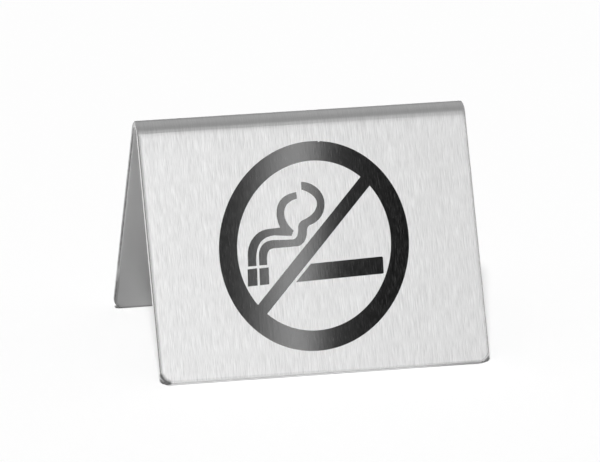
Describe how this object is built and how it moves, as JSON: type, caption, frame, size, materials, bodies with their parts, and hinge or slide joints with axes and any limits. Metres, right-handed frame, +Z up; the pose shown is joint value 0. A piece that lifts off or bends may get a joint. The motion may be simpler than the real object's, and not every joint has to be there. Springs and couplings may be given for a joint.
{
  "type": "no smoking sign",
  "caption": "Tent-shaped table sign folded from brushed steel sheet, with a printed no-smoking symbol on its front panel.",
  "frame": {"origin": "on the table, under the middle of the sign: the bottom centre of its bounding box", "axes": "+X along the fold, -Y out of the printed front, +Z up"},
  "size_m": [0.052, 0.0394, 0.0366],
  "materials": {
    "steel": "brushed",
    "ink": "gloss"
  },
  "bodies": {
    "root": {"folded_sheet": "steel", "printed_symbol": "ink"}
  },
  "joints": []
}
